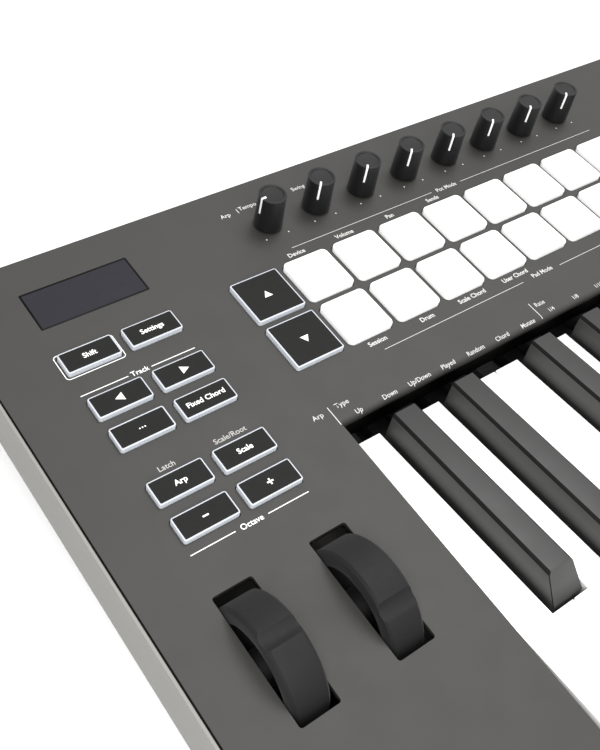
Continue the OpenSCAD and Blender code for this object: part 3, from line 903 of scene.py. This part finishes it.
@dataclass
class Buttons:
    """The silicone buttons: milky caps with black paint on top and legends cut into it."""

    rim: float = 0.5
    square_rim: float = 0.55
    square_share: float = 0.7
    edge: float = 0.25
    paint_radius: float = 0.35
    legends: dict[str, Legend] = field(default_factory=lambda: {
        "shift_button": Legend(word="Shift"),
        "settings_button": Legend(word="Settings"),
        "track_left_button": Legend(arrow=Arrow.LEFT),
        "track_right_button": Legend(arrow=Arrow.RIGHT),
        "more_button": Legend(dots=3),
        "chord_button": Legend(word="Fixed Chord"),
        "arp_button": Legend(word="Arp"),
        "scale_button": Legend(word="Scale"),
        "octave_down_button": Legend(bars=((2.1, 0.55),)),
        "octave_up_button": Legend(bars=((2.3, 0.55), (0.55, 2.3))),
        "arrow_up_button": Legend(arrow=Arrow.UP),
        "arrow_down_button": Legend(arrow=Arrow.DOWN),
        "function_buttons": Legend(),
    })

    def build(self) -> None:
        """Makes every button's cap, paint and legend."""
        for node, legend in self.legends.items():
            self.cap(node, legend)

    def cap(self, node: str, legend: Legend) -> None:
        """Makes one node's caps, with their paint and legend.

        Args:
            node: The CAD node, which is also its body.
            legend: What stands on each cap.
        """
        cap = copy_node(node, f"{node}_cap")
        tops = PANEL.tops(cap)
        height = PANEL.top_height(cap)
        round_edges(cap, self.edge)
        dress(cap, BUTTON_SILICONE, node)
        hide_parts(node)
        sheets, marks = [], []
        for top in tops:
            rim = self.square_rim if top.size[1] > self.square_share * top.size[0] else self.rim
            sheets.append(rounded_sheet(top.grown(-rim), self.paint_radius, INK))
            marks += legend.build(*top.middle)
        paint = join(f"{node}_paint", sheets)
        PANEL.settle(paint, height)
        dress(paint, BUTTON_PAINT, node)
        if marks:
            cuts = join(f"{node}_legend", marks)
            PANEL.settle(cuts, height + INK)
            dress(cuts, BRIGHT_INK, node)


# ---------- pads ----------


@dataclass
class Pads:
    """The sheet of white silicone pads."""

    edge: float = 0.4

    def build(self) -> None:
        """Rounds the pads' top edges and dresses the sheet."""
        pads = copy_node("pad_mat", "pads")
        top = PANEL.top_height(pads)
        activate(pads)
        pick_edges(pads, lambda *ends: min(PANEL.height(end) for end in ends) > top - TOP_DEPTH)
        bevel_picked(self.edge, 4)
        smooth(pads)
        dress(pads, PAD_SILICONE, "case")
        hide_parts("pad_mat")


# ---------- keys ----------


@dataclass
class Keys:
    """The white and black keys, with rounded edges."""

    white_edge: float = 0.5
    front_edge: float = 1.6
    black_edge: float = 0.35
    black_angle: float = 30

    def build(self) -> None:
        """Makes every key."""
        for node in [name for name in frame["nodes"] if name.startswith("key_")]:
            if node in ("key_frame", "key_springs"):
                continue
            if "s" in node[4:6]:
                self.black(node)
            else:
                self.white(node)

    def white(self, node: str) -> None:
        """Makes one white key, with its front edge rounded more than the others."""
        key = copy_node(node, f"{node}_cover")
        low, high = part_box(node)
        activate(key)
        pick_edges(key, lambda one, other: max(one.y, other.y) < low.y + NEAR * MM
                   and min(one.z, other.z) > high.z - NEAR * MM)
        bevel_picked(self.front_edge, 5)
        round_edges(key, self.white_edge)
        dress(key, WHITE_KEY_ABS, node)
        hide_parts(node)

    def black(self, node: str) -> None:
        """Makes one black key."""
        key = copy_node(node, f"{node}_cover")
        round_edges(key, self.black_edge, angle=self.black_angle)
        dress(key, BLACK_KEY_ABS, node)
        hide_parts(node)


# ---------- knobs and wheels ----------


@dataclass
class Knobs:
    """The knobs, each with a white pointer that runs over the rim and down its side."""

    edge: float = 0.35
    angle: float = 50
    pointer_w: float = 0.8
    pointer_l: float = 7.2
    pointer_in: float = 1.9
    pointer_edge: float = 0.08
    proud: float = 0.06
    taper: float = 0.2

    def build(self) -> None:
        """Makes every knob and its pointer."""
        for joint in frame["joints"]:
            if joint["name"].startswith("knob_"):
                self.knob(joint)

    def knob(self, joint: dict) -> None:
        """Makes one knob with its pointer.

        Args:
            joint: The knob's joint, whose limits tell where the pointer stands at rest.
        """
        node = joint["child"]
        cap = copy_node(node, f"{node}_cap")
        top = PANEL.top_height(cap)
        round_edges(cap, self.edge, angle=self.angle)
        dress(cap, KNOB_SOFT, node)
        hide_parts(node)
        foot = PANEL.inverse @ Vector(joint["pos_m"])
        radii = [((PANEL.inverse @ vertex.co) - foot).xy.length for vertex in cap.data.vertices]
        turn = -sum(joint["range_deg"]) / 2
        pointer = self.pointer(f"{node}_pointer", max(radii) / MM, top)
        place(pointer, Matrix.Translation(foot) @ Matrix.Rotation(math.radians(turn), 4, "Z"))
        PANEL.settle(pointer, 0)
        dress(pointer, BRIGHT_INK, node)

    def pointer(self, name: str, radius: float, top: float) -> Piece:
        """Makes a pointer that lies in a knob's groove and bends over its rim.

        Args:
            name: The piece's name.
            radius: The knob's largest radius in millimetres.
            top: Height of its rim above the panel in millimetres.

        Returns:
            The pointer, round the knob's axis, pointing straight back.
        """
        outer = radius - 2 * self.taper + self.proud
        inner = radius - 3 * self.taper - self.pointer_w
        deselect_all()
        bpy.ops.mesh.primitive_cube_add(size=MM)
        pointer = bpy.context.view_layer.objects.active
        pointer.name = name
        pointer.scale = (self.pointer_w, outer - inner, self.pointer_l)
        middle = (outer + inner) / 2 * MM
        pointer.location = (0, middle, (top + self.proud - self.pointer_l / 2) * MM)
        bpy.ops.object.transform_apply(location=True, scale=True)
        bend = (top - self.pointer_w) * MM
        with editing(everything=True):
            bpy.ops.mesh.bisect(plane_co=(0, 0, bend), plane_no=(0, 0, 1))
        pick_faces(pointer, lambda centre, normal: normal.y < -0.9 and centre.z > bend)
        with editing():
            bpy.ops.mesh.extrude_region_move(
                TRANSFORM_OT_translate={"value": (0, -(self.pointer_in - self.pointer_w) * MM, 0)})
        foot = (top + self.proud - self.pointer_l + NEAR) * MM
        pick_edges(pointer, lambda one, other: max(one.z, other.z) < foot
                   and min(one.y, other.y) > middle)
        with editing():
            bpy.ops.transform.translate(value=(0, self.taper * MM, 0))
        round_edges(pointer, self.pointer_edge, segments=2, angle=self.angle)
        return pointer


@dataclass
class Wheels:
    """The pitch and modulation wheels, with rounded rims and a finger groove."""

    edge: float = 0.8
    angle: float = 35

    def build(self) -> None:
        """Makes both wheels."""
        for node in ("pitch_wheel", "modulation_wheel"):
            wheel = copy_node(node, f"{node}_tyre")
            round_edges(wheel, self.edge, segments=4, angle=self.angle)
            dress(wheel, WHEEL_RUBBER, node)
            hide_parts(node)


# ---------- legends on the panel ----------


@dataclass
class PanelPrint:
    """Lines, dots and words printed on the panel.

    Each mark's place is given by its distance from the control it belongs to.
    """

    line: float = 0.3
    thin_line: float = 0.2
    bold: float = 0.05
    key_word: float = 2.55
    dot: float = 0.32
    dot_aside: float = 5.2
    dot_before: float = 6.9
    behind_pads: float = 3.75
    before_pads: float = 2.8
    behind_keys: float = 7.05
    bend_step: float = 0.3
    bend_steps: int = 12
    reach: float = 3.0

    @property
    def lip(self) -> float:
        """Where the panel's lip starts to bend down, found from the keys' back ends."""
        end = Vector((0, back_end("key_c3"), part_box("key_c3")[1].z))
        return (PANEL.inverse @ end).y / MM + self.behind_keys

    def rule(self, left: float, right: float, y: float, line: float) -> Piece:
        """A line across the panel."""
        return bar(Rect(left, right, y - line / 2, y + line / 2))

    def stroke(self, x: float, front: float, back: float) -> Piece:
        """A line down the panel."""
        return bar(Rect(x - self.line / 2, x + self.line / 2, front, back))

    def build(self) -> None:
        """Prints everything in its shade of ink."""
        layers = {
            "bright": (BRIGHT_INK, self.button_groups()),
            "soft": (SOFT_INK, [*self.pad_words(), *self.knob_words()]),
            "faint": (FAINT_INK, self.shifted_words()),
            "lip": (SOFT_INK, self.key_words()),
        }
        for name, (finish, marks) in layers.items():
            piece = join(f"panel_print_{name}", marks)
            if name == "lip":
                self.bend(piece)
            else:
                PANEL.settle(piece, 0)
            dress(piece, finish, "case")

    def bend(self, piece: Piece) -> None:
        """Lays flat printed words on the panel, down the rounding of its lip.

        Args:
            piece: The words, built flat.
        """
        activate(piece)
        for step in range(self.bend_steps):
            cut = (self.lip - step * self.bend_step) * MM
            with editing(everything=True):
                bpy.ops.mesh.bisect(plane_co=(0, cut, 0), plane_no=(0, 1, 0))
        piece.matrix_world = PANEL.matrix @ piece.matrix_world
        apply_modifier(piece, "SHRINKWRAP", target=frame["nodes"]["top_panel"],
                       wrap_method="PROJECT", use_project_z=True, use_negative_direction=True,
                       use_positive_direction=True, project_limit=self.reach * MM)
        place(piece, Matrix.Identity(4))
        apply_modifier(piece, "SOLIDIFY", thickness=INK * MM, offset=1.0)

    def button_groups(self) -> list[Piece]:
        """The ring round Shift and the lines over Track and under Octave."""
        shift = PANEL.outline("shift_button")
        left, right = PANEL.outline("track_left_button"), PANEL.outline("track_right_button")
        minus = PANEL.outline("octave_down_button")
        middle = (left.right + right.left) / 2 - 0.45
        marks = [rounded_sheet(shift.grown(1.1), 1.4, INK, ring=self.line)]
        # Each word, its row, and half the gap that its line leaves for it.
        for word, y, half in (("Track", left.back + 2.9, 4.4), ("Octave", minus.front - 3.9, 6.0)):
            marks += [
                self.rule(left.left - 0.5, middle - half, y, self.line),
                self.rule(middle + half, right.right - 0.8, y, self.line),
                Word(word, middle, y).build(),
            ]
        return marks

    def shifted_words(self) -> list[Piece]:
        """The dimmer words for what the buttons do together with Shift."""
        marks = []
        # Each button, its word, and how far left of the button's middle the word's middle is.
        for node, word, left in (("arp_button", "Latch", 0.4), ("scale_button", "Scale/Root", 0.5)):
            top = PANEL.outline(node)
            marks.append(Word(word, top.middle[0] - left, top.back + 3.15).build())
        return marks

    def knob_feet(self) -> list[Vector]:
        """Where the knobs stand on the panel, from left to right, in millimetres."""
        joints = [joint for joint in frame["joints"] if joint["name"].startswith("knob_")]
        feet = [PANEL.inverse @ Vector(joint["pos_m"]) / MM for joint in joints]
        return sorted(feet, key=lambda foot: foot.x)

    def knob_words(self) -> list[Piece]:
        """The dots at each knob's end stops and the words behind the first two."""
        feet = self.knob_feet()
        marks = [flat_shape(12, self.dot, foot.x + side * self.dot_aside, foot.y - self.dot_before)
                 for foot in feet for side in (-1, 1)]
        first, second = feet[:2]
        # Each word, its knob, and how far left of the knob and behind it the word's middle is.
        for word, foot, left, behind in (("Arp", first, 12.2, 11.3), ("Tempo", first, 1.4, 12.2),
                                         ("Swing", second, -0.2, 12.4)):
            marks.append(Word(word, foot.x - left, foot.y + behind).build())
        marks.append(self.stroke(first.x - 6.4, first.y + 10.4, first.y + 12.8))
        return marks

    def pad_words(self) -> list[Piece]:
        """The words and lines behind and in front of the pads, with their rows' names."""
        columns = [foot.x for foot in self.knob_feet()]
        pads = PANEL.outline("pad_mat")
        # Each word, and how far right of its knob's axis its middle is.
        behind = (("Device", 0.9), ("Volume", 0.9), ("Pan", 0.9), ("Sends", 0.9))
        before = (("Session", 1.1), ("Drum", 1.7), ("Scale Chord", 1.4), ("User Chord", 1.4))
        rows = ((behind, pads.back + self.behind_pads), (before, pads.front - self.before_pads))
        marks = [Word(word, x + right, y, weight=self.bold).build()
                 for row, y in rows for (word, right), x in zip(row, columns)]
        start, end, fourth = columns[0] + 1.0, columns[7] + 9.2, columns[3]
        over, under = rows[0][1] + 3.2, rows[1][1] - 4.2
        # Each line's row, the word's row, and where gap, word and gap end from the fourth knob.
        for y, word, word_y, gap, middle, line in (
                (over, "Pot Mode", over - 0.1, 3.25, 11.45, 19.75),
                (under, "Pad Mode", under + 0.6, 2.05, 13.25, 22.95)):
            marks += [
                self.rule(start, fourth + gap, y, self.thin_line),
                Word(word, fourth + middle, word_y).build(),
                self.rule(fourth + line, end, y, self.thin_line),
            ]
        return marks

    def key_words(self) -> list[Piece]:
        """The words behind the keys, one to a semitone, and the lines between their groups."""
        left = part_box("top_panel")[0].x
        first, octave = ((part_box(node)[0].x - left) / MM for node in ("key_c3", "key_c4"))
        semitone = (octave - first) / 12
        kinds = ("Up", "Down", "Up/Down", "Played", "Random", "Chord", "Mutate")
        rates = ("1/4", "1/8", "1/16")
        marks = []
        for column, word in enumerate(kinds + rates):
            y = self.lip if word in rates else self.lip - 0.9
            marks.append(Word(word, first + 6.6 + column * semitone, y, size=self.key_word,
                              thickness=0).build())
        # Each group's name, and how far right of the first key and behind the lip it is.
        for word, right, behind in (("Arp", -7.5, 3.7), ("Type", 3.0, 4.2), ("Rate", 100.4, 4.4)):
            marks.append(Word(word, first + right, self.lip + behind, thickness=0).build())
        # Each line between groups: how far right of the first key, and its ends from the lip.
        for right, front, back in ((-2.4, -2.7, 5.3), (96.1, -1.8, 6.4)):
            marks.append(self.line_sheet(first + right, self.lip + front, self.lip + back))
        return marks

    def line_sheet(self, x: float, front: float, back: float) -> Piece:
        """A line down the panel, as a sheet that can still be bent."""
        return thin_sheet(Rect(x - self.line / 2, x + self.line / 2, front, back))


# ---------- display ----------


@dataclass
class Display:
    """The smoked window and the unlit cell behind it."""

    edge: float = 0.06
    border: float = 0.7
    cell_radius: float = 0.3
    cell_depth: float = INK / 3

    def build(self) -> None:
        """Makes the window and the cell's darker field in it."""
        window = copy_node("display_window", "display_cover")
        top = PANEL.tops(window)[0]
        height = PANEL.top_height(window)
        round_edges(window, self.edge, segments=2)
        dress(window, DISPLAY_ACRYLIC, "case")
        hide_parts("display_window")
        cell = rounded_sheet(top.grown(-self.border), self.cell_radius, self.cell_depth)
        cell.name = "display_cell"
        PANEL.settle(cell, height)
        dress(cell, DISPLAY_CELL, "case")


# ---------- nodes that keep their CAD shape ----------


NODE_FINISHES: dict[str, Finish] = {
    "top_panel": PANEL_ABS,
    "bottom_case": CASE_ABS,
    "key_frame": FRAME_ABS,
    "pivot_rod": PLATED_STEEL,
    "key_springs": PLATED_STEEL,
    "circuit_boards": BOARD_MASK,
    "rear_sockets": SOCKET_PBT,
    "wheel_bracket": FRAME_ABS,
    "rubber_feet": FOOT_RUBBER,
    "case_screws": PLATED_STEEL,
}


def dress_nodes() -> None:
    """Gives the CAD nodes that show their finish."""
    for node, finish in NODE_FINISHES.items():
        mesh = frame["nodes"][node].data
        mesh.materials.clear()
        mesh.materials.append(finish.material())


# ---------- studio ----------


@dataclass(frozen=True)
class Lamp:
    """A soft box: where it hangs and where it points, its side in metres and its power."""

    name: str
    place: tuple[float, float, float]
    target: tuple[float, float, float]
    side: float
    watts: float

    def build(self) -> None:
        """Hangs the lamp."""
        light = bpy.data.lights.new(self.name, "AREA")
        light.shape = "SQUARE"
        light.size = self.side
        light.energy = self.watts
        lamp = bpy.data.objects.new(self.name, light)
        bpy.context.scene.collection.objects.link(lamp)
        lamp.location = self.place
        direction = Vector(self.target) - Vector(self.place)
        lamp.rotation_euler = direction.to_track_quat("-Z", "Y").to_euler()


@dataclass
class Studio:
    """A pale floor, a white surround, soft lamps and the camera."""

    eye: tuple[float, float, float] = (-0.2945, -0.1294, 0.2970)
    turn_deg: tuple[float, float, float] = (42.977, -5.781, -36.452)
    lens_mm: float = 46.54
    sensor_mm: float = 36.0
    floor_side: float = 6.0
    floor_tone: float = 0.7
    floor_seen: float = 0.98
    ambient: float = 0.92
    lamps: tuple[Lamp, ...] = (
        Lamp("key_lamp", (0.4, 0.2, 1.35), (0.0, 0.0, 0.05), 0.6, 11.0),
        Lamp("fill_lamp", (-0.5, -0.55, 0.6), (-0.2, -0.15, 0.05), 0.6, 8.0),
    )

    def build(self) -> None:
        """Sets up the stage."""
        self.floor()
        self.surround()
        for lamp in self.lamps:
            lamp.build()
        self.camera()
        bpy.context.scene.view_settings.view_transform = "Standard"

    def floor(self) -> None:
        """Lays a pale floor that keeps the object's shadow."""
        deselect_all()
        bpy.ops.mesh.primitive_plane_add(size=self.floor_side)
        floor = bpy.context.view_layer.objects.active
        floor.name = "studio_floor"
        material = bpy.data.materials.new("studio_paper")
        tree = fresh_tree(material)
        path = add_node(tree, "ShaderNodeLightPath", {})
        tone = mapped(tree, path.outputs["Is Camera Ray"], (0.0, 1.0),
                      (self.floor_tone, self.floor_seen))
        shader = add_node(tree, "ShaderNodeBsdfPrincipled",
                          {"Base Color": tone, "Roughness": 0.9, "Specular IOR Level": 0.0})
        add_node(tree, "ShaderNodeOutputMaterial", {"Surface": shader.outputs["BSDF"]})
        floor.data.materials.append(material)

    def surround(self) -> None:
        """Makes the world: an even light, and white where the camera sees it."""
        world = bpy.data.worlds.new("studio")
        bpy.context.scene.world = world
        tree = fresh_tree(world)
        path = add_node(tree, "ShaderNodeLightPath", {})
        level = mapped(tree, path.outputs["Is Camera Ray"], (0.0, 1.0), (self.ambient, 1.0))
        light = add_node(tree, "ShaderNodeBackground",
                         {"Color": (1.0, 1.0, 1.0, 1.0), "Strength": level})
        add_node(tree, "ShaderNodeOutputWorld", {"Surface": light.outputs["Background"]})

    def camera(self) -> None:
        """Sets up the camera over the front left corner."""
        lens = bpy.data.cameras.new("camera")
        lens.lens = self.lens_mm
        lens.sensor_width = self.sensor_mm
        lens.clip_start = 0.01
        camera = bpy.data.objects.new("camera", lens)
        bpy.context.scene.collection.objects.link(camera)
        camera.location = self.eye
        camera.rotation_euler = tuple(math.radians(angle) for angle in self.turn_deg)
        bpy.context.scene.camera = camera


def main() -> None:
    """Builds the keyboard's looks, piece by piece."""
    logging.basicConfig(level=logging.INFO, format="%(name)s: %(message)s")
    Studio().build()
    dress_nodes()
    for part in (Keys(), Pads(), Buttons(), Knobs(), Wheels(), Display(), PanelPrint()):
        part.build()
        LOG.info("%s done", type(part).__name__)


if __name__ == "__main__":
    main()
